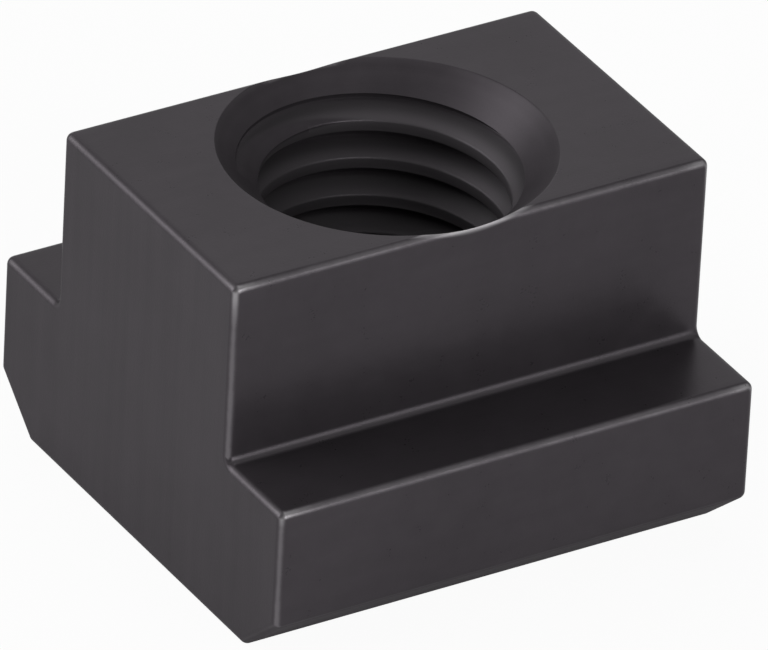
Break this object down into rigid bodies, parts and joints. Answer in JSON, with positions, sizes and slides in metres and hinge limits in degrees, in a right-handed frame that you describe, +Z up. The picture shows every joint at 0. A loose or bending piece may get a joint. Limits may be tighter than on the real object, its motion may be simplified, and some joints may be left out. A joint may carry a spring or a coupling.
{
  "type": "T-slot nut",
  "caption": "Steel T-slot nut: a T-section block with a countersunk tapped hole that clamps studs in a machine table's T slot.",
  "frame": {"origin": "on the thread's axis at the underside, which is the middle of the bounding box's base", "axes": "+X along the slot, +Y across the slot, +Z up along the thread's axis, out of the slot"},
  "size_m": [0.022, 0.022, 0.0156],
  "materials": {
    "black_oxide_steel": "satin black oxide, worn lighter along the edges"
  },
  "bodies": {
    "root": {"nut_body": "black_oxide_steel"}
  },
  "joints": []
}
